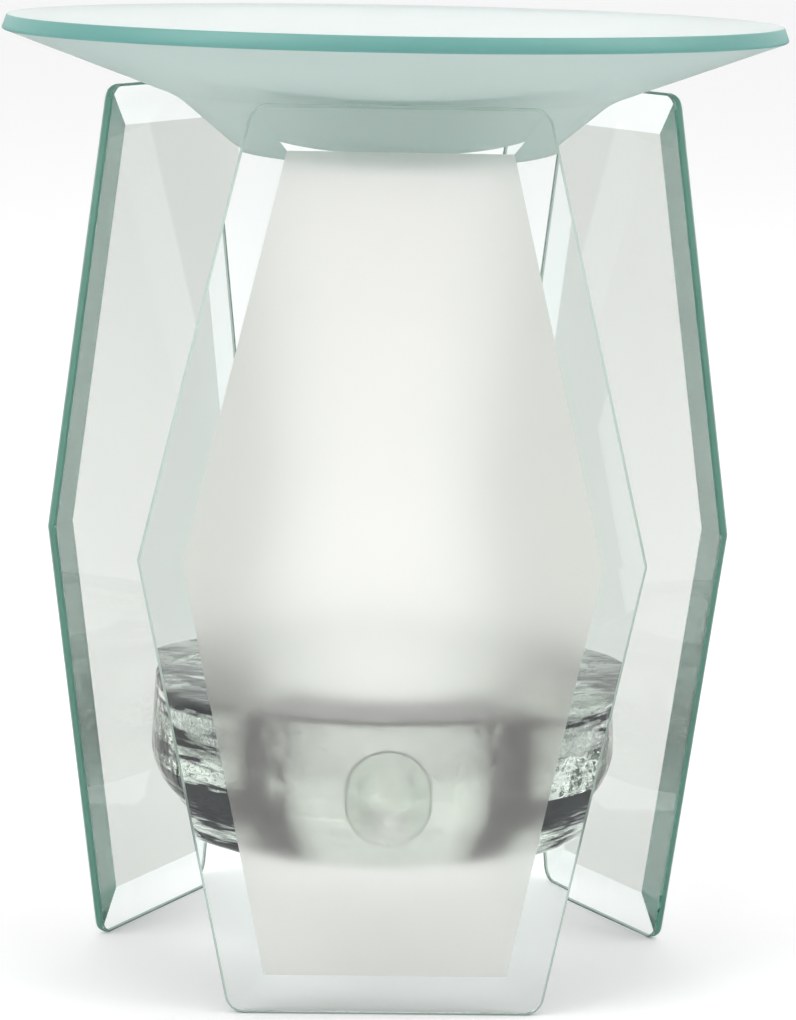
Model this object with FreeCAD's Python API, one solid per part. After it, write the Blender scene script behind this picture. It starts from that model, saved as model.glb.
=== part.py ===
import FreeCAD, Part
import math
import os

os.makedirs("parts", exist_ok=True)

# Wax melt warmer: three bevelled glass panels stand on edge round a pressed glass tealight
# holder, glued to its belly, and carry a slumped glass dish. All sizes are in mm.
# +Z is up, the origin is on the table, on the axis, and the front panel faces -Y.

# Panels, cut as six-sided blanks from float glass
PANEL_COUNT = 3
GLASS = 3.0               # thickness of the float glass
PANEL_HEIGHT = 146.5
WAIST_HEIGHT = 74.5       # height of the widest line
TOP_WIDTH = 46.2
WAIST_WIDTH = 80.8
FOOT_WIDTH = 50.6
BEVEL_WIDTH = 7.0         # ground and polished band round the outer face
EDGE_LEFT = 1.6           # glass left at the edge by the bevel
CORNER_RADIUS = 3.2       # rounded corners at the top and the foot
WAIST_RADIUS = 0.8
ARRIS = 0.3               # seamed edges of every cut glass piece

# Tealight and its holder
TEALIGHT_DIAMETER = 39.0  # metal cup of a standard tealight
TEALIGHT_CLEARANCE = 2.3  # round the cup, at the floor of the recess
RECESS_DEPTH = 14.0
RECESS_DRAFT = 4.0        # degrees, so that the pressed glass leaves its mould
RECESS_FLOOR_BEVEL = 2.2  # thick glass left in the corner of the floor
RECESS_MOUTH_BEVEL = 0.9
HOLDER_FLOOR = 22.1       # height of the holder's base over the table
HOLDER_HEIGHT = 25.9
BASE_RADIUS = 32.0
BELLY_RADIUS = 39.9       # where the flared foot and the wall would meet in a corner
BELLY_RISE = 9.9          # height of that corner over the base
BELLY_BEVEL = 4.2         # cut off both sides of that corner
RIM_RADIUS = 39.0
SHOULDER_BEVEL = 1.2
KICK_DIAMETER = 36.0      # shallow hollow under the base
KICK_DEPTH = 1.2
KICK_TAPER = 3.0

# Cured adhesive between holder and panels
AXIS_TO_PANEL = 40.5      # axis to the inner face of each panel
BOND_WIDTH = 14.0
BOND_LENGTH = 15.6        # upright, the drop sags a little before it cures
BOND_CENTRE = 35.8        # height of the bonds' centres
BOND_REACH = 4.3          # deeper than the gap anywhere under a bond

# Dish
DISH_DIAMETER = 130.0
DISH_GLASS = 2.6
DISH_REST_GAP = 0.3       # between the dish's underside and the panels' upper edges
FLANGE_SLOPE = 20.3       # degrees
WALL_SLOPE = 40.0         # degrees
DISH_DROP = 11.8          # the dish's flat bottom hangs this far below the resting line
FLANGE_START = 4.2        # the flange starts this far inside the resting line
WELL_BLEND = 12.0
FLANGE_BLEND = 11.0

HOLDER_RIM = HOLDER_FLOOR + HOLDER_HEIGHT
RESTING_HEIGHT = PANEL_HEIGHT + DISH_REST_GAP
UP = FreeCAD.Vector(0, 0, 1)
ORIGIN = FreeCAD.Vector(0, 0, 0)


def profile_point(radius, height):
    return FreeCAD.Vector(radius, 0, height)


def rounded_path(corners, radii):
    """Open wire through the corners, with each inner corner turned into an arc."""
    edges = []
    start = corners[0]
    for before, corner, after, radius in zip(corners, corners[1:], corners[2:], radii):
        arriving = (corner - before).normalize()
        leaving = (after - corner).normalize()
        half_turn = arriving.getAngle(leaving) / 2
        reach = radius * math.tan(half_turn)
        arc_start = corner - arriving * reach
        arc_end = corner + leaving * reach
        inward = (leaving - arriving).normalize()
        arc_middle = corner + inward * (radius / math.cos(half_turn) - radius)
        if start.distanceToPoint(arc_start) > 1e-6:
            edges.append(Part.makeLine(start, arc_start))
        edges.append(Part.Arc(arc_start, arc_middle, arc_end).toShape())
        start = arc_end
    edges.append(Part.makeLine(start, corners[-1]))
    return Part.Wire(edges)


def revolved(wire):
    """Solid of revolution about the vertical axis from a closed wire in the XZ plane."""
    return Part.Face(wire).revolve(ORIGIN, UP, 360)


def copies_round_axis(shape):
    turned = []
    for index in range(PANEL_COUNT):
        copy = shape.copy()
        copy.rotate(ORIGIN, UP, index * 360 / PANEL_COUNT)
        turned.append(copy)
    return turned


def frustum(lower, upper):
    """Flat-sided solid between two rings of points, both anticlockwise seen from above upper."""
    rings = [lower[::-1], upper]
    for index in range(len(lower)):
        rings.append([lower[index - 1], lower[index], upper[index], upper[index - 1]])
    faces = [Part.Face(Part.makePolygon(ring + ring[:1])) for ring in rings]
    return Part.makeSolid(Part.makeShell(faces))


def panel_corners(inset, y):
    """Six corners of a panel's outline, drawn in by inset, in the plane at the given Y."""
    half_outline = [
        (FOOT_WIDTH / 2, 0),
        (WAIST_WIDTH / 2, WAIST_HEIGHT),
        (TOP_WIDTH / 2, PANEL_HEIGHT),
    ]
    right = [FreeCAD.Vector(x, y, z) for x, z in half_outline]
    left = [FreeCAD.Vector(-x, y, z) for x, z in reversed(half_outline)]
    ring = right + left
    facing = FreeCAD.Vector(0, -1, 0)
    sides = [(end - start).normalize() for start, end in zip(ring, ring[1:] + ring[:1])]
    inward = [facing.cross(side) for side in sides]
    return [corner + (before + after) * (inset / (1 + before.dot(after)))
            for corner, before, after in zip(ring, inward[-1:] + inward, inward)]


def edges_at(solid, y, tolerance=1e-4):
    """Edges of a solid that lie wholly in the plane Y = y."""
    return [edge for edge in solid.Edges
            if abs(edge.BoundBox.YMin - y) < tolerance and abs(edge.BoundBox.YMax - y) < tolerance]


def rounded_blank():
    """Blank of float glass with its six corners rounded and its inner edge seamed."""
    blank = frustum(panel_corners(0, 0), panel_corners(0, -GLASS))
    across = [edge for edge in blank.Edges if edge.BoundBox.YLength > GLASS / 2]
    waist = [edge for edge in across if abs(edge.CenterOfMass.z - WAIST_HEIGHT) < 1]
    corners = [edge for edge in across if edge not in waist]
    blank = blank.makeFillet(CORNER_RADIUS, corners)
    across = [edge for edge in blank.Edges if edge.BoundBox.YLength > GLASS / 2]
    waist = [edge for edge in across if abs(edge.CenterOfMass.z - WAIST_HEIGHT) < 0.1]
    blank = blank.makeFillet(WAIST_RADIUS, waist)
    return blank.makeChamfer(ARRIS, edges_at(blank, 0))


def bevelled_block():
    """The six bevels as a mitred frustum on a plain slab, inner face at Y = 0."""
    slab = frustum(panel_corners(0, 0), panel_corners(0, -EDGE_LEFT))
    bevels = frustum(panel_corners(0, -EDGE_LEFT), panel_corners(BEVEL_WIDTH, -GLASS))
    return slab.fuse(bevels).removeSplitter()


def make_panels():
    front = rounded_blank().common(bevelled_block())
    front.translate(FreeCAD.Vector(0, -AXIS_TO_PANEL, 0))
    return copies_round_axis(front)


def bevelled_corner(before, corner, after, cut):
    """The two points left when a corner loses the same length on both its sides."""
    arriving = (corner - before).normalize()
    leaving = (after - corner).normalize()
    return [corner - arriving * cut, corner + leaving * cut]


def holder_body():
    """Pressed round cup without its hollows: flared foot, belly, near-upright wall, shoulder."""
    axis_below = profile_point(0, HOLDER_FLOOR)
    base = profile_point(BASE_RADIUS, HOLDER_FLOOR)
    belly = profile_point(BELLY_RADIUS, HOLDER_FLOOR + BELLY_RISE)
    rim = profile_point(RIM_RADIUS, HOLDER_RIM)
    axis_above = profile_point(0, HOLDER_RIM)
    profile = [axis_below, base]
    profile += bevelled_corner(base, belly, rim, BELLY_BEVEL)
    profile += bevelled_corner(belly, rim, axis_above, SHOULDER_BEVEL)
    profile += [axis_above, axis_below]
    return revolved(Part.makePolygon(profile))


def tealight_recess():
    """Drafted round recess, bevelled at its mouth and in the corner of its floor."""
    floor_radius = (TEALIGHT_DIAMETER + 2 * TEALIGHT_CLEARANCE) / 2
    spread = math.tan(math.radians(RECESS_DRAFT))
    floor = HOLDER_RIM - RECESS_DEPTH
    throat = HOLDER_RIM - RECESS_MOUTH_BEVEL
    over_rim = HOLDER_RIM + RECESS_MOUTH_BEVEL
    throat_radius = floor_radius + (throat - floor) * spread
    profile = [
        profile_point(0, floor),
        profile_point(floor_radius - RECESS_FLOOR_BEVEL, floor),
        profile_point(floor_radius + RECESS_FLOOR_BEVEL * spread, floor + RECESS_FLOOR_BEVEL),
        profile_point(throat_radius, throat),
        profile_point(throat_radius + over_rim - throat, over_rim),
        profile_point(0, over_rim),
    ]
    return revolved(Part.makePolygon(profile + profile[:1]))


def base_kick():
    """Shallow tapered hollow under the base, as pressed glass has."""
    half = KICK_DIAMETER / 2
    return Part.makeCone(half, half - KICK_TAPER, KICK_DEPTH, UP * HOLDER_FLOOR)


def make_holder():
    return holder_body().cut(tealight_recess()).cut(base_kick())


def make_bonds():
    """Oval drops pressed flat by the panels and hollow where they wet the holder's belly."""
    radius = BOND_WIDTH / 2
    half_run = BOND_LENGTH / 2 - radius
    panel_side = -AXIS_TO_PANEL
    ends = [(-radius, half_run), (radius, half_run), (radius, -half_run), (-radius, -half_run)]
    corners = [FreeCAD.Vector(x, panel_side, BOND_CENTRE + z) for x, z in ends]
    crown = FreeCAD.Vector(0, panel_side, BOND_CENTRE + BOND_LENGTH / 2)
    sole = FreeCAD.Vector(0, panel_side, BOND_CENTRE - BOND_LENGTH / 2)
    outline = Part.Wire([
        Part.Arc(corners[0], crown, corners[1]).toShape(),
        Part.makeLine(corners[1], corners[2]),
        Part.Arc(corners[2], sole, corners[3]).toShape(),
        Part.makeLine(corners[3], corners[0]),
    ])
    drop = Part.Face(outline).extrude(FreeCAD.Vector(0, BOND_REACH, 0)).cut(holder_body())
    return copies_round_axis(drop)


def make_dish():
    """Flat well, steep wall and shallow flange, slumped from one sheet, with a ground rim."""
    flange_rise = math.tan(math.radians(FLANGE_SLOPE))
    wall_rise = math.tan(math.radians(WALL_SLOPE))
    rim = DISH_DIAMETER / 2
    bottom = RESTING_HEIGHT - DISH_DROP
    turn = profile_point(AXIS_TO_PANEL - FLANGE_START, RESTING_HEIGHT - FLANGE_START * flange_rise)
    corners = [
        profile_point(0, bottom),
        profile_point(turn.x - (turn.z - bottom) / wall_rise, bottom),
        turn,
        profile_point(rim, RESTING_HEIGHT + (rim - AXIS_TO_PANEL) * flange_rise),
    ]
    underside = rounded_path(corners, [WELL_BLEND, FLANGE_BLEND])
    sheet = underside.makeOffset2D(DISH_GLASS, 0, True, True)
    if sheet.BoundBox.ZMin < bottom - DISH_GLASS / 2:
        sheet = underside.makeOffset2D(-DISH_GLASS, 0, True, True)
    dish = sheet.revolve(ORIGIN, UP, 360)
    rim_edges = [edge for edge in dish.Edges
                 if edge.BoundBox.ZLength < 1e-3 and edge.BoundBox.XMax > rim - DISH_GLASS]
    return dish.makeChamfer(ARRIS, rim_edges)


def save(node, shape):
    solids = shape.Solids
    if len(solids) != 1 or not solids[0].isValid():
        raise RuntimeError("%s is not one valid solid" % node)
    solids[0].exportStep("parts/%s.step" % node)
    box = solids[0].BoundBox
    print("%-14s %8.1f mm3  z %.2f to %.2f" % (node, solids[0].Volume, box.ZMin, box.ZMax))


def main():
    sides = ("front", "right", "left")
    for side, panel, bond in zip(sides, make_panels(), make_bonds()):
        save(side + "_panel", panel)
        save(side + "_bond", bond)
    save("candle_holder", make_holder())
    save("wax_dish", make_dish())


main()
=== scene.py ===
import math

import bmesh
import bpy
from bpy.props import FloatProperty, FloatVectorProperty, IntProperty, PointerProperty
from mathutils import Matrix, Vector, noise
from mathutils.bvhtree import BVHTree


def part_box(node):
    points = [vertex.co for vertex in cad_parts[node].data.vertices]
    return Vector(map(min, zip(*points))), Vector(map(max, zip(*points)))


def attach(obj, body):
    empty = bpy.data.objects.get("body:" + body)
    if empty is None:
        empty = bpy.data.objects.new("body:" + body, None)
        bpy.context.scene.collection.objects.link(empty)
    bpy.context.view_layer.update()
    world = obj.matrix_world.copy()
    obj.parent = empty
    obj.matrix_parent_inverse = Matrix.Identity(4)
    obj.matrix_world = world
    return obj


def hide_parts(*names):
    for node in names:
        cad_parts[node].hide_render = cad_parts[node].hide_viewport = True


bl_info = {
    "name": "Wax melt warmer",
    "version": (1, 0, 0),
    "blender": (4, 5, 0),
    "location": "View3D > Sidebar > Warmer",
    "description": "Glass pieces, finishes and studio of a wax melt warmer",
    "category": "Object",
}

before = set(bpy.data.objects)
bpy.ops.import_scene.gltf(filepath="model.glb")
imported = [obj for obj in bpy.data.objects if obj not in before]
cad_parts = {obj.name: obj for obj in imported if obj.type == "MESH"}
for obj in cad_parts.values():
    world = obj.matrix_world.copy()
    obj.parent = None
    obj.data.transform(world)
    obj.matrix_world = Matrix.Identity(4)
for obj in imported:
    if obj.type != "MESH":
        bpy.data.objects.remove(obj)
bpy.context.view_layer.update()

MM = 0.001
MICRON = 1e-6                        # what lies closer than this counts as touching
UP = Vector((0, 0, 1))
FACING = Vector((0, -1, 0))          # the front panel looks this way
PANEL_LOW, PANEL_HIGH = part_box("front_panel")
DISH_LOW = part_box("wax_dish")[0]
HOLDER_LOW, HOLDER_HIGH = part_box("candle_holder")
BOND_LOW, BOND_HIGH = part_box("front_bond")
SIDES = {"front": 0, "right": 120, "left": 240}     # turn about the vertical axis, degrees


def colour(sheet_value):
    """Linear red, green and blue from an sRGB hex value."""
    channels = [int(sheet_value[i:i + 2], 16) / 255 for i in (1, 3, 5)]
    return tuple(c / 12.92 if c <= 0.04045 else ((c + 0.055) / 1.055) ** 2.4 for c in channels)


def length(name, description, millimetres):
    """Property for a length, given in millimetres."""
    return FloatProperty(name=name, description=description, default=millimetres * MM,
                         unit="LENGTH", subtype="DISTANCE", precision=5)


def slope(name, description, degrees):
    """Property for an angle, given in degrees."""
    return FloatProperty(name=name, description=description, default=math.radians(degrees),
                         subtype="ANGLE")


def share(name, description, value):
    """Property for a share between none and all."""
    return FloatProperty(name=name, description=description, default=value, min=0, max=1,
                         subtype="FACTOR")


def tint(name, description, sheet_value):
    """Property for a colour, given as an sRGB hex value."""
    return FloatVectorProperty(name=name, description=description, subtype="COLOR", size=3,
                               min=0, max=1, default=colour(sheet_value))


class WarmerPanels(bpy.types.PropertyGroup):
    """Sizes and finish of the three bevelled panels"""
    top_width: length("Top width", "Length of a panel's upper edge", 46.2)
    waist_width: length("Waist width", "Greatest width of a panel",
                        (PANEL_HIGH.x - PANEL_LOW.x) / MM)
    foot_width: length("Foot width", "Length of the edge that a panel stands on", 50.6)
    height: length("Height", "Height of a panel", PANEL_HIGH.z / MM)
    waist_height: length("Waist height", "Height of a panel's widest line", 74.5)
    inner_face: length("Inner face", "Distance from the axis to a panel's inner face",
                       -PANEL_HIGH.y / MM)
    glass: length("Glass", "Thickness of the float glass", (PANEL_HIGH.y - PANEL_LOW.y) / MM)
    bevel_width: length("Bevel width", "Width of the polished bevel", 7.0)
    edge_left: length("Edge", "Glass left at the edge by the bevel", 1.6)
    corner: length("Corner radius", "Radius of the top and foot corners", 3.2)
    waist_corner: length("Waist radius", "Radius of the two waist corners", 0.8)
    arris: length("Arris", "Width of the seamed inner edge", 0.3)
    seam: length("Seam", "Width of the seamed edge of the bevel", 0.45)
    frost: tint("Frost", "Colour of the acid-frosted flat", "#F8F4EF")
    edge: tint("Edge", "Colour of the ground edge", "#70AB9A")
    body: tint("Body", "Colour that light keeps in 10 mm of the glass", "#ECF6F3")
    satin: share("Satin", "Roughness of the frosted flat", 0.36)
    clear: share("Clear", "Share of light that passes the frosted flat", 0.85)


class WarmerHolder(bpy.types.PropertyGroup):
    """Sizes and finish of the tealight holder"""
    floor: length("Floor", "Height of the base over the table", HOLDER_LOW.z / MM)
    rim: length("Rim", "Height of the rim over the table", HOLDER_HIGH.z / MM)
    base: length("Base radius", "Radius of the flat base", 32.0)
    belly: length("Belly radius", "Radius where foot and wall would meet unblended", 39.9)
    belly_rise: length("Belly rise", "Height of the belly over the base", 9.9)
    belly_blend: length("Belly blend", "Radius of the belly's curve", 9.0)
    mouth: length("Wall radius", "Radius of the wall at the rim", 39.0)
    shoulder: length("Shoulder", "Radius of the fire-polished rim", 1.3)
    recess: length("Recess radius", "Radius of the tealight recess at its floor", 21.8)
    recess_depth: length("Recess depth", "Depth of the tealight recess", 14.0)
    throat: length("Throat radius", "Radius of the recess near its mouth", 22.7)
    lip: length("Lip", "Width of the lip that leads into the recess", 0.9)
    kick: length("Kick radius", "Radius of the hollow under the base", 18.0)
    kick_depth: length("Kick depth", "Depth of the hollow under the base", 1.2)
    kick_taper: length("Kick taper", "Run of the hollow's sloping side", 3.0)
    ripple: length("Ripple", "How far the pressed surface wanders", 0.09)
    wave: length("Wave", "Length of the waves that the mould's chill leaves", 6.0)
    body: tint("Body", "Colour that light keeps in 10 mm of the glass", "#FCFDFC")


class WarmerBonds(bpy.types.PropertyGroup):
    """Sizes of the drops of adhesive"""
    width: length("Width", "Width of a drop on the panel", (BOND_HIGH.x - BOND_LOW.x) / MM)
    height: length("Height", "Height of a drop on the panel", (BOND_HIGH.z - BOND_LOW.z) / MM)
    centre: length("Centre", "Height of the middle over the table",
                   (BOND_HIGH.z + BOND_LOW.z) / 2 / MM)
    wetting: length("Wetting", "How deep a drop reaches into the glass it wets", 0.03)
    ring_width: length("Ring width", "Width of the rings that fit a drop to the cup", 1.2)
    neck: share("Neck", "Greatest step inwards of the free edge, as a share of the gap", 0.091)


class WarmerDish(bpy.types.PropertyGroup):
    """Sizes and finish of the dish"""
    rim: length("Rim radius", "Radius of the dish at its rim", 65.0)
    glass: length("Glass", "Thickness of the slumped glass", 2.6)
    bottom: length("Bottom", "Height of the flat bottom over the table", DISH_LOW.z / MM)
    rest_gap: length("Rest gap", "Height of the underside over the panels", 0.3)
    flange_slope: slope("Flange slope", "Slope of the flange", 20.3)
    wall_slope: slope("Wall slope", "Slope of the well's wall", 40)
    flange_start: length("Flange start", "How far inside the panels the flange starts", 4.2)
    well_blend: length("Well blend", "Radius between bottom and wall", 12.0)
    flange_blend: length("Flange blend", "Radius between wall and flange", 11.0)
    arris: length("Arris", "Width of the seamed edges of the rim", 0.3)
    frost: tint("Frost", "Colour of the satin surface inside the dish", "#FDFEFD")
    # partly the glass's tint, partly painted shade on the dish's underside
    under: tint("Underside", "Colour of the satin surface under the dish", "#EAF4F1")
    edge: tint("Edge", "Colour of the ground rim", "#7CC0B9")
    body: tint("Body", "Colour that light keeps in 10 mm of the glass", "#D6ECE9")
    satin: share("Satin", "Roughness of the satin surface", 0.5)
    clear: share("Clear", "Share of light that passes the satin surface", 0.5)


class WarmerStudio(bpy.types.PropertyGroup):
    """Light and ground"""
    ground: tint("Ground", "Colour of the table", "#F2F2F2")
    backdrop: FloatProperty(name="Backdrop", description="Brightness of the backdrop",
                            default=1.18, min=0)
    overhead: FloatProperty(name="Overhead", description="Brightness of the overhead softbox",
                            default=1.16, min=0)
    room: FloatProperty(name="Room", description="Brightness of the room on the camera's side",
                        default=0.06, min=0)
    left_power: FloatProperty(name="Left softbox", description="Power of the left softbox",
                              default=7, min=0, unit="POWER")
    right_power: FloatProperty(name="Right softbox", description="Power of the right softbox",
                               default=4.7, min=0, unit="POWER")
    softbox: length("Softbox", "Side of each softbox", 800)
    table: length("Table", "Distance from the middle of the table to its sides", 12000)
    segments: IntProperty(name="Segments", description="Sides of the round pieces",
                          default=144, min=24, max=360)


def settings(group):
    """The settings of the panels, the holder, the bonds, the dish or the studio."""
    return getattr(bpy.context.scene, group)


# Shapes

def finished(name, bm, material, body, slot, *nodes):
    """Turns a bmesh into an object that stands for the CAD nodes and rides on their body."""
    if any(len(edge.link_faces) != 2 for edge in bm.edges):
        raise RuntimeError("%s isn't closed" % name)
    mesh = bpy.data.meshes.new(name)
    bm.to_mesh(mesh)
    bm.free()
    mesh.materials.append(material)
    piece = bpy.data.objects.new(name, mesh)
    bpy.context.scene.collection.objects.link(piece)
    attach(piece, body)
    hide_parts(*nodes)


def turned(bm, degrees):
    """Turns a front piece about the vertical axis to another side."""
    bmesh.ops.rotate(bm, cent=(0, 0, 0), verts=bm.verts,
                     matrix=Matrix.Rotation(math.radians(degrees), 3, "Z"))


def panel_outline(s):
    """Six corners of a panel, anticlockwise seen from the front, in the plane Y = 0."""
    right = [(s.foot_width / 2, 0), (s.waist_width / 2, s.waist_height),
             (s.top_width / 2, s.height)]
    return ([Vector((x, 0, z)) for x, z in right]
            + [Vector((-x, 0, z)) for x, z in reversed(right)])


def panel_blank(s):
    """Front panel: six-sided slab with rounded corners, six bevels cut flat and seamed edges."""
    outline = panel_outline(s)
    bm = bmesh.new()
    inner = bm.faces.new([bm.verts.new(corner + FACING * s.inner_face) for corner in outline])
    raised = bmesh.ops.extrude_face_region(bm, geom=[inner])
    outer = [part for part in raised["geom"] if isinstance(part, bmesh.types.BMVert)]
    bmesh.ops.translate(bm, vec=FACING * s.glass, verts=outer)
    bmesh.ops.recalc_face_normals(bm, faces=bm.faces)
    for index, corner in enumerate(outline):
        waist = index % 3 == 1
        along = corner - outline[index - 1]
        turn = along.angle(outline[(index + 1) % 6] - corner)
        radius = s.waist_corner if waist else s.corner
        across = [edge for edge in bm.edges
                  if all((vert.co.xz - corner.xz).length < MICRON for vert in edge.verts)]
        bmesh.ops.bevel(bm, geom=across, offset=radius * math.tan(turn / 2),
                        offset_type="OFFSET", affect="EDGES", segments=3 if waist else 9,
                        profile=0.5, material=-1)
    for start, end in zip(outline, outline[1:] + outline[:1]):
        cut_bevel(bm, s, start, end)
    bmesh.ops.recalc_face_normals(bm, faces=bm.faces)
    frosted = bm.faces.layers.float.new("frosted")
    ground = bm.faces.layers.float.new("ground")
    outer_face = s.inner_face + s.glass
    for face in bm.faces:
        face[frosted] = float(face.calc_center_median().y < MICRON - outer_face)
        face[ground] = float(abs(face.normal.y) < 0.5)
    inside = [edge for edge in bm.edges
              if all(abs(vert.co.y + s.inner_face) < MICRON for vert in edge.verts)]
    bmesh.ops.bevel(bm, geom=inside, offset=s.arris, offset_type="OFFSET", affect="EDGES",
                    segments=1, profile=0.5, material=-1)
    outside = [edge for edge in bm.edges
               if sorted(face[ground] for face in edge.link_faces) == [0, 1]
               and all(vert.co.y < -(s.inner_face + s.edge_left / 2) for vert in edge.verts)]
    seamed = bmesh.ops.bevel(bm, geom=outside, offset=s.seam, offset_type="OFFSET",
                             affect="EDGES", segments=2, profile=0.5, material=-1)
    # a seamed edge is paler than the ground one, and satin like the flat
    for face in seamed["faces"]:
        face[ground] = 0.6
        face[frosted] = 1
    return bm


def cut_bevel(bm, s, start, end):
    """Cuts the flat bevel along one side of the front panel."""
    along = (end - start).normalized()
    down_bevel = FACING * (s.glass - s.edge_left) - along.cross(FACING) * s.bevel_width
    normal = along.cross(down_bevel)
    normal *= 1 if normal.dot(FACING) > 0 else -1
    cut = bmesh.ops.bisect_plane(
        bm, geom=bm.verts[:] + bm.edges[:] + bm.faces[:], dist=1e-8, clear_outer=True,
        plane_co=start + FACING * (s.inner_face + s.edge_left), plane_no=normal)
    rim = [part for part in cut["geom_cut"] if isinstance(part, bmesh.types.BMEdge)]
    bmesh.ops.edgeloop_fill(bm, edges=rim)


def wire(bm, points):
    """Open chain of edges through (radius, height) points in the XZ plane."""
    chain = [bm.verts.new((radius, 0, height)) for radius, height in points]
    for one, other in zip(chain, chain[1:]):
        bm.edges.new((one, other))
    return chain


def round_off(bm, vert, radius, segments):
    """Rounds a corner of a wire to a radius."""
    before, after = [edge.other_vert(vert).co - vert.co for edge in vert.link_edges]
    reach = radius * math.tan((math.pi - before.angle(after)) / 2)
    bmesh.ops.bevel(bm, geom=[vert], offset=reach, offset_type="OFFSET", affect="VERTICES",
                    segments=segments, profile=0.5, material=-1)


def spun(bm, steps):
    """Turns the wire about the vertical axis and welds the seam and the pole."""
    bmesh.ops.spin(bm, geom=bm.verts[:] + bm.edges[:], cent=(0, 0, 0), axis=UP, angle=math.tau,
                   steps=steps, use_merge=True)
    bmesh.ops.remove_doubles(bm, verts=bm.verts, dist=MICRON)
    bmesh.ops.recalc_face_normals(bm, faces=bm.faces)
    for face in bm.faces:
        face.smooth = True


def dish_blank(s, panels, steps):
    """Flat well, steep wall and shallow flange spun in one sheet, with a ground rim."""
    bm = bmesh.new()
    rest = panels.height + s.rest_gap
    rise = math.tan(s.flange_slope)
    turn = (panels.inner_face - s.flange_start, rest - s.flange_start * rise)
    well = turn[0] - (turn[1] - s.bottom) / math.tan(s.wall_slope)
    rim = (s.rim, rest + (s.rim - panels.inner_face) * rise)
    chain = wire(bm, [(0, s.bottom), (well, s.bottom), turn, rim])
    round_off(bm, chain[1], s.well_blend, 8)
    round_off(bm, chain[2], s.flange_blend, 6)
    spun(bm, steps)
    if sum(face.normal.z for face in bm.faces) > 0:
        bmesh.ops.reverse_faces(bm, faces=bm.faces)
    bmesh.ops.solidify(bm, geom=bm.faces[:], thickness=s.glass)
    bmesh.ops.recalc_face_normals(bm, faces=bm.faces)
    near_rim = s.rim - s.glass
    edges = [edge for edge in bm.edges if edge.calc_face_angle(0) > 1
             and all(vert.co.xy.length > near_rim for vert in edge.verts)]
    bmesh.ops.bevel(bm, geom=edges, offset=s.arris, offset_type="OFFSET", affect="EDGES",
                    segments=2, profile=0.5, material=-1)
    frosted = bm.faces.layers.float.new("frosted")
    ground = bm.faces.layers.float.new("ground")
    # the wheel grinds what leans more than 35 degrees from level at the rim
    level = math.cos(math.radians(35))
    for face in bm.faces:
        on_rim = (face.calc_center_median().xy.length > near_rim
                  and abs(face.normal.z) < level)
        face[ground] = float(on_rim)
        face[frosted] = float(not on_rim)
        face.smooth = True
    return bm


def holder_blank(s, steps):
    """Round cup spun from its profile: kicked base, flared foot, belly, wall, rim and recess."""
    bm = bmesh.new()
    hollow = s.floor + s.kick_depth
    bed = s.rim - s.recess_depth
    # each corner's distance from the axis, height and rounding
    profile = [
        (0, hollow, 0),
        (s.kick - s.kick_taper, hollow, 1.5 * MM),
        (s.kick, s.floor, 1.0 * MM),
        (s.base, s.floor, 0.6 * MM),
        (s.belly, s.floor + s.belly_rise, s.belly_blend),
        (s.mouth, s.rim, s.shoulder),
        (s.throat + s.lip, s.rim, 1.0 * MM),
        (s.throat, s.rim - s.lip, 1.4 * MM),
        (s.recess, bed, 2.8 * MM),
        (0, bed, 0)]
    chain = wire(bm, [corner[:2] for corner in profile])
    for vert, corner in zip(chain[1:-1], profile[1:-1]):
        round_off(bm, vert, corner[2], 10 if corner[2] == s.belly_blend else 5)
    # long straights get more points, so that the ripple can bend them
    straight = 3 * MM
    for edge in [edge for edge in bm.edges if edge.calc_length() > straight]:
        bmesh.ops.subdivide_edges(bm, edges=[edge],
                                  cuts=int(edge.calc_length() / (straight / 2)))
    spun(bm, steps)
    for vert in bm.verts:
        vert.co += vert.normal * s.ripple * noise.noise(vert.co / s.wave)
    bmesh.ops.recalc_face_normals(bm, faces=bm.faces)
    return bm


def bond_blank(s, panels, cup):
    """Oval drop pressed flat by the front panel, hollow on the belly, its free edge drawn in."""
    bm = bmesh.new()
    bmesh.ops.create_circle(bm, segments=64, radius=s.width / 2, cap_ends=True)
    for side in (1, -1):
        bmesh.ops.translate(bm, vec=(0, side * (s.height - s.width) / 2, 0),
                            verts=[vert for vert in bm.verts if vert.co.y * side > MICRON])
    bmesh.ops.rotate(bm, cent=(0, 0, 0), matrix=Matrix.Rotation(math.pi / 2, 3, "X"),
                     verts=bm.verts)
    middle = Vector((0, -panels.inner_face - s.wetting, s.centre))
    bmesh.ops.translate(bm, vec=middle, verts=bm.verts)
    front = bm.faces[:]
    layers = 6
    for layer in range(1, layers + 1):
        raised = bmesh.ops.extrude_face_region(bm, geom=front)["geom"]
        if layer > 1:
            bmesh.ops.delete(bm, geom=front, context="FACES_ONLY")
        front = [part for part in raised if isinstance(part, bmesh.types.BMFace)]
        raise_to_cup(s, front, middle, cup, 1 / (layers + 1 - layer), layer / layers)
    rings = 5
    for ring in range(rings):
        bmesh.ops.inset_region(bm, faces=front, thickness=s.ring_width, use_even_offset=True)
        raise_to_cup(s, front, middle, cup, 1, 1)
    bmesh.ops.recalc_face_normals(bm, faces=bm.faces)
    for face in bm.faces:
        face.smooth = True
    return bm


def raise_to_cup(s, faces, middle, cup, step, height):
    """Moves a ring of the drop a step nearer the cup and draws it in where the edge is free."""
    flat = Vector((1, 0, 1))
    well_outside = FACING * 100 * MM
    for vert in {vert for face in faces for vert in face.verts}:
        hit = cup.ray_cast(vert.co * flat + well_outside, -FACING)[0]
        vert.co.y += (hit.y + s.wetting - vert.co.y) * step
        if height < 1:
            gap = hit.y - middle.y
            inward = (middle - vert.co) * flat
            vert.co += inward.normalized() * s.neck * gap * math.cos(math.pi * height)


# Finishes

WHITE = (*colour("#FFFFFF"), 1)
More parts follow.
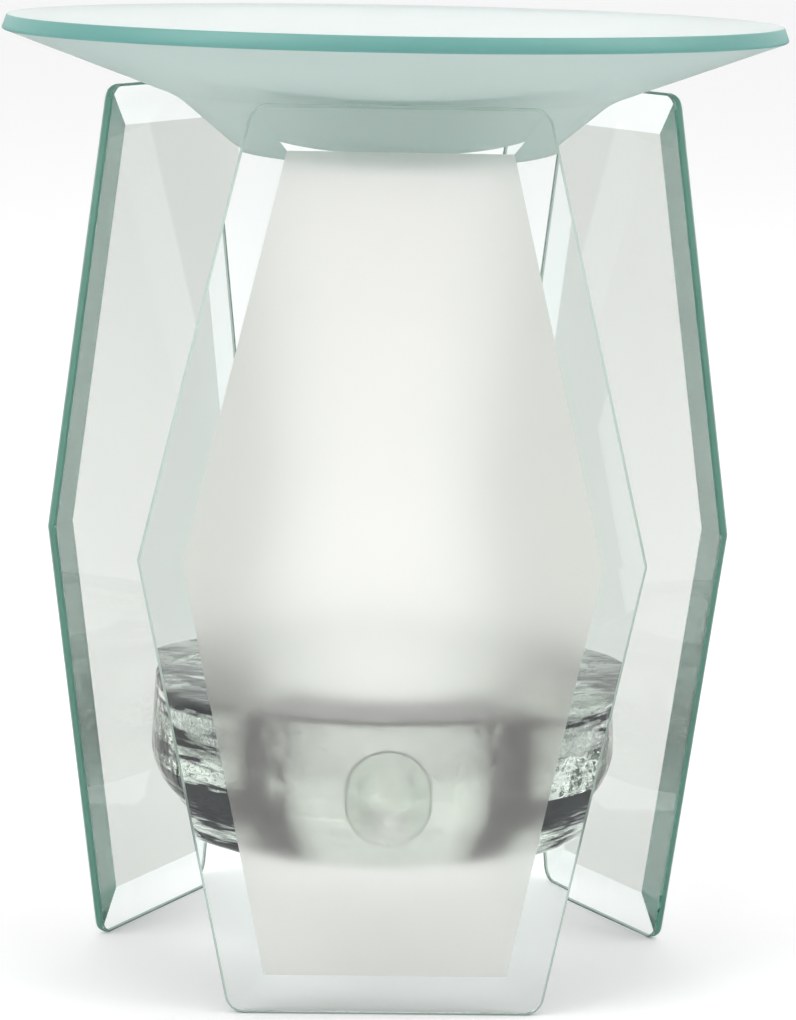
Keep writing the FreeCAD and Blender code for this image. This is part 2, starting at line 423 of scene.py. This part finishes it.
# linear shares of red, green and blue that a surface keeps, in finer steps than hex values have
POLISHED = (0.985, 0.995, 0.99, 1)
PRESSED = (0.996, 1, 0.997, 1)
# painted dark reflection: near-black base colour that the holder takes where it stands in for the
# dark room seen through the glass
PAINTED_REFLECTION_BLACK = (0.0006, 0.0006, 0.0009, 1)
CURED = (1, 1, 0.99, 1)
GLASS_IOR = 1.52
ACRYLIC_IOR = 1.49
GROUND_ROUGHNESS = 0.42
GROUND_CLEAR = 0.5                   # share of light that passes a ground edge


def add(tree, kind, inputs=None, **values):
    """Adds a node, sets its values, and sets or links its inputs."""
    node = tree.nodes.new(kind)
    for name, value in values.items():
        setattr(node, name, value)
    for socket, value in (inputs or {}).items():
        if isinstance(value, bpy.types.NodeSocket):
            tree.links.new(value, node.inputs[socket])
        else:
            node.inputs[socket].default_value = value
    return node


def blank_material(name):
    """A material without nodes, and its node tree."""
    material = bpy.data.materials.new(name)
    material.use_nodes = True
    material.node_tree.nodes.clear()
    return material, material.node_tree


def absorption(tree, kept):
    """Glass body: of each colour, kept is what light still has after 10 mm."""
    loss = [-math.log(max(channel, 1e-3)) / (10 * MM) for channel in kept]
    density = max(loss)
    hue = [1 - channel / density for channel in loss]
    return add(tree, "ShaderNodeVolumeAbsorption", {"Color": (*hue, 1), "Density": density})


def satin_glass(name, s, under):
    """Float glass with a polished, an acid-frosted and a ground finish, told apart by attributes.

    The acid leaves an even, silky white, the grinding wheel a dull green, and the polished parts
    stay clear. Under is the frost's colour where it looks down: partly the glass's tint, partly
    painted shade."""
    material, tree = blank_material(name)
    where = add(tree, "ShaderNodeTexCoord").outputs
    frosted = add(tree, "ShaderNodeAttribute", attribute_name="frosted").outputs["Fac"]
    ground = add(tree, "ShaderNodeAttribute", attribute_name="ground").outputs["Fac"]
    # the etch grain, too fine to show at its real size, is drawn 0.35 mm wide, with clouds of
    # about 25 mm where the acid bit unevenly
    grain = add(tree, "ShaderNodeTexNoise", {
        "Vector": where["Object"], "Scale": 1 / (0.35 * MM), "Detail": 2,
        "Roughness": 0.6}).outputs["Fac"]
    clouds = add(tree, "ShaderNodeTexNoise", {
        "Vector": where["Object"], "Scale": 1 / (25 * MM), "Detail": 3,
        "Roughness": 0.55}).outputs["Fac"]
    # surfaces that look up take the frost colour, those that look down the under colour, which is
    # partly the glass's tint and partly painted shade
    up = add(tree, "ShaderNodeSeparateXYZ", {0: where["Normal"]}).outputs["Z"]
    upper = add(tree, "ShaderNodeMapRange", {"Value": up, "From Min": -0.2,
                                             "From Max": 0.2}).outputs["Result"]
    frost_with_painted_underside_shade = add(tree, "ShaderNodeMix", {0: upper, 6: (*under, 1), 7: (*s.frost, 1)},
                data_type="RGBA").outputs[2]
    shade = add(tree, "ShaderNodeMapRange", {
        "Value": clouds, "From Min": 0.3, "From Max": 0.7, "To Min": 0.965,
        "To Max": 1.0}).outputs["Result"]
    frost = add(tree, "ShaderNodeVectorMath", {0: frost_with_painted_underside_shade, "Scale": shade},
                operation="SCALE").outputs["Vector"]
    flat_tone = add(tree, "ShaderNodeMix", {0: frosted, 6: POLISHED, 7: frost},
                    data_type="RGBA").outputs[2]
    tone = add(tree, "ShaderNodeMix", {0: ground, 6: flat_tone, 7: (*s.edge, 1)},
               data_type="RGBA").outputs[2]
    # roughness: faint smears where polished, the etched flat, the ground edge
    smear = add(tree, "ShaderNodeMapRange", {
        "Value": clouds, "From Min": 0.45, "From Max": 0.75, "To Min": 0.0,
        "To Max": 0.03}).outputs["Result"]
    etched = add(tree, "ShaderNodeMapRange", {
        "Value": grain, "To Min": s.satin - 0.05, "To Max": s.satin + 0.05}).outputs["Result"]
    flat_rough = add(tree, "ShaderNodeMix", {0: frosted, 2: smear, 3: etched}).outputs[0]
    rough = add(tree, "ShaderNodeMix", {
        0: ground, 2: flat_rough, 3: GROUND_ROUGHNESS}).outputs[0]
    flat_clear = add(tree, "ShaderNodeMix", {0: frosted, 2: 1.0, 3: s.clear}).outputs[0]
    clear = add(tree, "ShaderNodeMix", {0: ground, 2: flat_clear, 3: GROUND_CLEAR}).outputs[0]
    pits = add(tree, "ShaderNodeMath", {0: grain, 1: frosted}, operation="MULTIPLY").outputs[0]
    pitted = add(tree, "ShaderNodeBump", {"Height": pits, "Strength": 0.15,
                                          "Distance": 0.02 * MM}).outputs["Normal"]
    glass = add(tree, "ShaderNodeBsdfPrincipled", {
        "Base Color": tone, "Roughness": rough, "IOR": GLASS_IOR, "Transmission Weight": clear,
        "Normal": pitted})
    add(tree, "ShaderNodeOutputMaterial", {
        "Surface": glass.outputs[0], "Volume": absorption(tree, s.body).outputs[0]})
    return material


def pressed_relief(tree, s, where, height, in_recess):
    """The rings on the foot, and the normal that waves, chill wrinkles and rings leave."""
    on_foot = add(tree, "ShaderNodeMapRange", {
        "Value": height, "From Min": s.floor + 10 * MM,
        "From Max": s.floor + 7 * MM}).outputs["Result"]
    waves = add(tree, "ShaderNodeTexNoise", {
        "Vector": where, "Scale": 1 / s.wave, "Detail": 2, "Roughness": 0.5}).outputs["Fac"]
    wrinkles = add(tree, "ShaderNodeTexNoise", {
        "Vector": where, "Scale": 1 / (2.6 * MM), "Detail": 4, "Roughness": 0.6,
        "Distortion": 0.8}).outputs["Fac"]
    flattened = add(tree, "ShaderNodeMapping", {"Vector": where, "Scale": (1, 1, 9)}).outputs[0]
    rings = add(tree, "ShaderNodeTexNoise", {
        "Vector": flattened, "Scale": 1 / (22 * MM), "Detail": 3,
        "Roughness": 0.65}).outputs["Fac"]
    waved = add(tree, "ShaderNodeBump", {"Height": waves, "Strength": 0.8,
                                         "Distance": 0.8 * MM}).outputs["Normal"]
    chilled = add(tree, "ShaderNodeBump", {
        "Height": wrinkles, "Strength": in_recess, "Distance": 1.8 * MM,
        "Normal": waved}).outputs["Normal"]
    ringed = add(tree, "ShaderNodeBump", {
        "Height": rings, "Strength": on_foot, "Distance": 2.6 * MM,
        "Normal": chilled}).outputs["Normal"]
    return rings, ringed


def painted_dark_reflection(tree, s, axes, rings, normal, in_recess):
    """Painted dark reflection: where the holder's colour goes nearly black, standing in for the
    dark of the room that the thick glass would gather as it turns away.

    It does so in a band round the belly, in fine rings above and below it, and in a broad
    patch on either side of each drop of adhesive."""
    facing = add(tree, "ShaderNodeLayerWeight", {"Blend": 0.5, "Normal": normal})
    turned_away = add(tree, "ShaderNodeMapRange", {
        "Value": facing.outputs["Facing"], "From Min": 0.05, "From Max": 0.13}).outputs["Result"]
    band_middle = s.floor + 8.8 * MM
    band_half = 2.6 * MM
    belly = add(tree, "ShaderNodeMath", {0: axes["Z"], 1: band_middle, 2: band_half},
                operation="COMPARE").outputs[0]
    lines = add(tree, "ShaderNodeMapRange", {
        "Value": rings, "From Min": 0.44, "From Max": 0.56, "To Min": 0.05,
        "To Max": 1.0}).outputs["Result"]
    painted_dark = add(tree, "ShaderNodeMath", {0: belly, 1: lines}, operation="MAXIMUM").outputs[0]
    # minus one at each of the three drops, one halfway between them
    azimuth = add(tree, "ShaderNodeMath", {0: axes["X"], 1: axes["Y"]},
                  operation="ARCTAN2").outputs[0]
    thrice = add(tree, "ShaderNodeMath", {0: azimuth, 1: 3}, operation="MULTIPLY").outputs[0]
    between = add(tree, "ShaderNodeMath", {0: thrice}, operation="COSINE").outputs[0]
    beside = add(tree, "ShaderNodeMapRange", {
        "Value": between, "From Min": 0.7, "From Max": 0.3}).outputs["Result"]
    painted_dark = add(tree, "ShaderNodeMath", {0: painted_dark, 1: beside}, operation="MAXIMUM").outputs[0]
    # no painted dark round each drop, which lets light from the panel in, but still some on the
    # rim
    unlit = add(tree, "ShaderNodeMapRange", {
        "Value": between, "From Min": -0.65, "From Max": -0.25}).outputs["Result"]
    on_rim = add(tree, "ShaderNodeMapRange", {
        "Value": axes["Z"], "From Min": s.rim - 4 * MM,
        "From Max": s.rim - 2 * MM}).outputs["Result"]
    unlit = add(tree, "ShaderNodeMath", {0: unlit, 1: on_rim}, operation="MAXIMUM").outputs[0]
    # less painted dark in the recess, which is pale inside, and on the side towards the rear gap,
    # which lets the backdrop through
    recess_share = add(tree, "ShaderNodeMapRange", {
        "Value": in_recess, "To Min": 1.0, "To Max": 0.35}).outputs["Result"]
    rear_share = add(tree, "ShaderNodeMapRange", {
        "Value": axes["Y"], "From Min": 0, "From Max": 25 * MM, "To Min": 1.0,
        "To Max": 0.2}).outputs["Result"]
    for factor in (unlit, recess_share, rear_share, turned_away):
        painted_dark = add(tree, "ShaderNodeMath", {0: painted_dark, 1: factor}, operation="MULTIPLY").outputs[0]
    return painted_dark


def pressed_glass(name, s):
    """Soda glass, pressed: the mould leaves it bright but never flat, so all it shows wavers.

    Slow waves run all over, chill wrinkles in the recess and rings round the foot."""
    material, tree = blank_material(name)
    where = add(tree, "ShaderNodeTexCoord").outputs["Object"]
    axes = add(tree, "ShaderNodeSeparateXYZ", {0: where}).outputs
    flat = add(tree, "ShaderNodeVectorMath", {0: where, 1: (1, 1, 0)}, operation="MULTIPLY")
    radius = add(tree, "ShaderNodeVectorMath", {0: flat.outputs[0]}, operation="LENGTH")
    in_recess = add(tree, "ShaderNodeMapRange", {
        "Value": radius.outputs["Value"], "From Min": s.throat + 1.5 * MM,
        "From Max": s.throat + 0.5 * MM}).outputs["Result"]
    rings, normal = pressed_relief(tree, s, where, axes["Z"], in_recess)
    # painted dark reflection: the base colour goes nearly black where this mask says, in a band
    # round the belly, in rings on the foot and beside the drops
    painted_dark = painted_dark_reflection(tree, s, axes, rings, normal, in_recess)
    tone = add(tree, "ShaderNodeMix", {0: painted_dark, 6: PRESSED, 7: PAINTED_REFLECTION_BLACK},
               data_type="RGBA").outputs[2]
    glass = add(tree, "ShaderNodeBsdfPrincipled", {
        "Base Color": tone, "Roughness": 0.01, "IOR": GLASS_IOR, "Transmission Weight": 1.0,
        "Normal": normal})
    add(tree, "ShaderNodeOutputMaterial", {
        "Surface": glass.outputs[0], "Volume": absorption(tree, s.body).outputs[0]})
    return material


def cured_adhesive(name):
    """Clear acrylic, cured in place: wet, with specks of about 1.5 mm where it is duller."""
    material, tree = blank_material(name)
    where = add(tree, "ShaderNodeTexCoord").outputs["Object"]
    specks = add(tree, "ShaderNodeTexNoise", {"Vector": where,
                                              "Scale": 1 / (1.5 * MM)}).outputs["Fac"]
    rough = add(tree, "ShaderNodeMapRange", {"Value": specks, "To Min": 0.0,
                                             "To Max": 0.08}).outputs["Result"]
    clear = add(tree, "ShaderNodeBsdfPrincipled", {
        "Base Color": CURED, "Roughness": rough, "IOR": ACRYLIC_IOR,
        "Transmission Weight": 1.0})
    add(tree, "ShaderNodeOutputMaterial", {"Surface": clear.outputs[0]})
    return material


# Studio

def opal_acrylic(name, s):
    """Opal acrylic table: plain and matt, glowing faintly all over, with a painted pool of light
    behind the cup and painted shade where glass reflects it.
    """
    material, tree = blank_material(name)
    # painted pool of light: the table glows more round a point behind the cup, standing in for
    # the light that the thick cup would gather there, and evenly and faintly further out
    where = add(tree, "ShaderNodeTexCoord").outputs["Object"]
    away = add(tree, "ShaderNodeVectorMath", {0: where, 1: (0, 25 * MM, 0)},
               operation="DISTANCE").outputs["Value"]
    even_glow_and_painted_pool = add(tree, "ShaderNodeMapRange", {
        "Value": away, "From Min": 20 * MM, "From Max": 65 * MM, "To Min": 0.4,
        "To Max": 0.12}, interpolation_type="SMOOTHSTEP").outputs["Result"]
    # painted shade: in the glass's reflections the table's colour and glow drop to a fifth, much
    # as a polarising filter would take them off
    ray = add(tree, "ShaderNodeLightPath").outputs
    mirrored = add(tree, "ShaderNodeMath", {
        0: ray["Is Glossy Ray"], 1: ray["Is Reflection Ray"]}, operation="MULTIPLY").outputs[0]
    kept = add(tree, "ShaderNodeMapRange", {"Value": mirrored, "To Min": 1.0,
                                            "To Max": 0.2}).outputs["Result"]
    tone = add(tree, "ShaderNodeVectorMath", {0: s.ground, "Scale": kept},
               operation="SCALE").outputs["Vector"]
    table_glow_and_painted_pool = add(tree, "ShaderNodeMath", {0: even_glow_and_painted_pool, 1: kept}, operation="MULTIPLY").outputs[0]
    matt = add(tree, "ShaderNodeBsdfPrincipled", {
        "Base Color": tone, "Roughness": 0.8, "Specular IOR Level": 0.2,
        "Emission Color": WHITE, "Emission Strength": table_glow_and_painted_pool})
    add(tree, "ShaderNodeOutputMaterial", {"Surface": matt.outputs[0]})
    return material


def studio_world(name, s):
    """Bright backdrop behind, softbox overhead and a dim room on the camera's side."""
    world = bpy.data.worlds.new(name)
    world.use_nodes = True
    tree = world.node_tree
    tree.nodes.clear()
    direction = add(tree, "ShaderNodeTexCoord").outputs["Generated"]
    axes = add(tree, "ShaderNodeSeparateXYZ", {0: direction}).outputs
    behind = add(tree, "ShaderNodeMapRange", {
        "Value": axes["Y"], "From Min": 0.0, "From Max": 0.75, "To Min": s.room,
        "To Max": s.backdrop}, interpolation_type="SMOOTHSTEP").outputs["Result"]
    above = add(tree, "ShaderNodeMapRange", {
        "Value": axes["Z"], "From Min": 0.35, "From Max": 0.85, "To Min": 0,
        "To Max": s.overhead}, interpolation_type="SMOOTHSTEP").outputs["Result"]
    light = add(tree, "ShaderNodeMath", {0: behind, 1: above}, operation="MAXIMUM").outputs[0]
    # the lens itself sees the backdrop on every side
    seen = add(tree, "ShaderNodeLightPath").outputs["Is Camera Ray"]
    strength = add(tree, "ShaderNodeMix", {0: seen, 2: light, 3: s.backdrop}).outputs[0]
    sky = add(tree, "ShaderNodeBackground", {"Color": WHITE, "Strength": strength})
    add(tree, "ShaderNodeOutputWorld", {"Surface": sky.outputs[0]})
    return world


def softbox(name, place, size, power):
    """Area light that looks at the middle of the warmer."""
    light = bpy.data.lights.new(name, "AREA")
    light.size = size
    light.energy = power
    middle = Vector((0, 0, 80 * MM))
    aim = middle - Vector(place)
    lamp = bpy.data.objects.new(name, light)
    lamp.matrix_world = (Matrix.Translation(place)
                         @ aim.to_track_quat("-Z", "Y").to_matrix().to_4x4())
    bpy.context.scene.collection.objects.link(lamp)


def product_camera(name):
    """Camera at the photograph's place, fitted to the panels' corners and the dish's rim."""
    place = (-0.01485, -0.56739, 0.18079)
    pan, tilt, roll = -0.0295, 0.1836, 0.0191
    camera = bpy.data.objects.new(name, bpy.data.cameras.new(name))
    camera.data.sensor_width = 36
    camera.data.lens = 119.715
    camera.data.clip_start = 0.05
    camera.matrix_world = (Matrix.Translation(place)
                           @ Matrix.Rotation(pan, 4, "Z")
                           @ Matrix.Rotation(math.pi / 2 - tilt, 4, "X")
                           @ Matrix.Rotation(roll, 4, "Z"))
    bpy.context.scene.collection.objects.link(camera)
    return camera


# Operators

class WARMER_OT_panels(bpy.types.Operator):
    """Make the three bevelled panels"""
    bl_idname = "warmer.panels"
    bl_label = "Bevelled panels"

    def execute(self, context):
        panels = settings("warmer_panels")
        glass = satin_glass("acid_frosted_float_glass", panels, panels.frost)
        for side, turn in SIDES.items():
            bm = panel_blank(panels)
            turned(bm, turn)
            finished(side + "_bevelled_panel", bm, glass, "stand", "bevelled_glass",
                     side + "_panel")
        return {"FINISHED"}


class WARMER_OT_holder(bpy.types.Operator):
    """Make the pressed glass tealight holder"""
    bl_idname = "warmer.holder"
    bl_label = "Tealight holder"

    def execute(self, context):
        holder = settings("warmer_holder")
        blank = holder_blank(holder, settings("warmer_studio").segments)
        finished("pressed_holder", blank, pressed_glass("pressed_soda_glass", holder), "stand",
                 "pressed_glass", "candle_holder")
        return {"FINISHED"}


class WARMER_OT_bonds(bpy.types.Operator):
    """Make the three drops of adhesive between the holder and the panels"""
    bl_idname = "warmer.bonds"
    bl_label = "Adhesive bonds"

    def execute(self, context):
        panels, bonds = settings("warmer_panels"), settings("warmer_bonds")
        adhesive = cured_adhesive("cured_clear_adhesive")
        for side, turn in SIDES.items():
            # the cup's ripple differs at each side, so each drop is fitted to its own
            cup = bmesh.new()
            cup.from_mesh(bpy.data.objects["pressed_holder"].data)
            turned(cup, -turn)
            bm = bond_blank(bonds, panels, BVHTree.FromBMesh(cup))
            cup.free()
            turned(bm, turn)
            finished(side + "_adhesive", bm, adhesive, "stand", "clear_adhesive", side + "_bond")
        return {"FINISHED"}


class WARMER_OT_dish(bpy.types.Operator):
    """Make the slumped dish"""
    bl_idname = "warmer.dish"
    bl_label = "Dish"

    def execute(self, context):
        dish = settings("warmer_dish")
        glass = satin_glass("satin_etched_tinted_glass", dish, dish.under)
        blank = dish_blank(dish, settings("warmer_panels"), settings("warmer_studio").segments)
        finished("slumped_dish", blank, glass, "dish", "frosted_dish_glass", "wax_dish")
        return {"FINISHED"}


class WARMER_OT_stage(bpy.types.Operator):
    """Set the table, the lights and the camera"""
    bl_idname = "warmer.stage"
    bl_label = "Studio"

    def execute(self, context):
        scene, studio = context.scene, settings("warmer_studio")
        bm = bmesh.new()
        bmesh.ops.create_grid(bm, x_segments=8, y_segments=8, size=studio.table)
        mesh = bpy.data.meshes.new("table")
        bm.to_mesh(mesh)
        bm.free()
        mesh.materials.append(opal_acrylic("opal_acrylic_table", studio))
        table = bpy.data.objects.new("table", mesh)
        scene.collection.objects.link(table)
        scene.world = studio_world("studio", studio)
        softbox("left_softbox", (-0.9, -0.5, 0.9), studio.softbox, studio.left_power)
        softbox("right_softbox", (0.9, -0.2, 0.8), studio.softbox, studio.right_power)
        scene.camera = product_camera("camera")
        scene.view_settings.view_transform = "Standard"
        # light crosses up to a dozen walls of glass, and turns back inside some of them
        scene.cycles.max_bounces = 24
        scene.cycles.transmission_bounces = 24
        scene.cycles.glossy_bounces = 12
        return {"FINISHED"}


class WARMER_PT_sidebar(bpy.types.Panel):
    """Buttons for each group of pieces"""
    bl_idname = "WARMER_PT_sidebar"
    bl_label = "Wax melt warmer"
    bl_space_type = "VIEW_3D"
    bl_region_type = "UI"
    bl_category = "Warmer"

    def draw(self, context):
        for operator in OPERATORS:
            self.layout.operator(operator.bl_idname)


GROUPS = {"warmer_panels": WarmerPanels, "warmer_holder": WarmerHolder,
          "warmer_bonds": WarmerBonds, "warmer_dish": WarmerDish, "warmer_studio": WarmerStudio}
OPERATORS = (WARMER_OT_panels, WARMER_OT_holder, WARMER_OT_bonds, WARMER_OT_dish,
             WARMER_OT_stage)


def register():
    """Makes the settings, the operators and the sidebar known."""
    for group in (*GROUPS.values(), *OPERATORS, WARMER_PT_sidebar):
        bpy.utils.register_class(group)
    for name, group in GROUPS.items():
        setattr(bpy.types.Scene, name, PointerProperty(type=group))


def unregister():
    """Takes them away again."""
    for name in GROUPS:
        delattr(bpy.types.Scene, name)
    for group in (WARMER_PT_sidebar, *reversed(OPERATORS), *reversed(GROUPS.values())):
        bpy.utils.unregister_class(group)


def main():
    """Builds the warmer and its studio."""
    register()
    bpy.ops.warmer.stage()
    bpy.ops.warmer.panels()
    bpy.ops.warmer.holder()
    bpy.ops.warmer.bonds()
    bpy.ops.warmer.dish()
    bpy.context.view_layer.update()


if __name__ == "__main__":
    main()
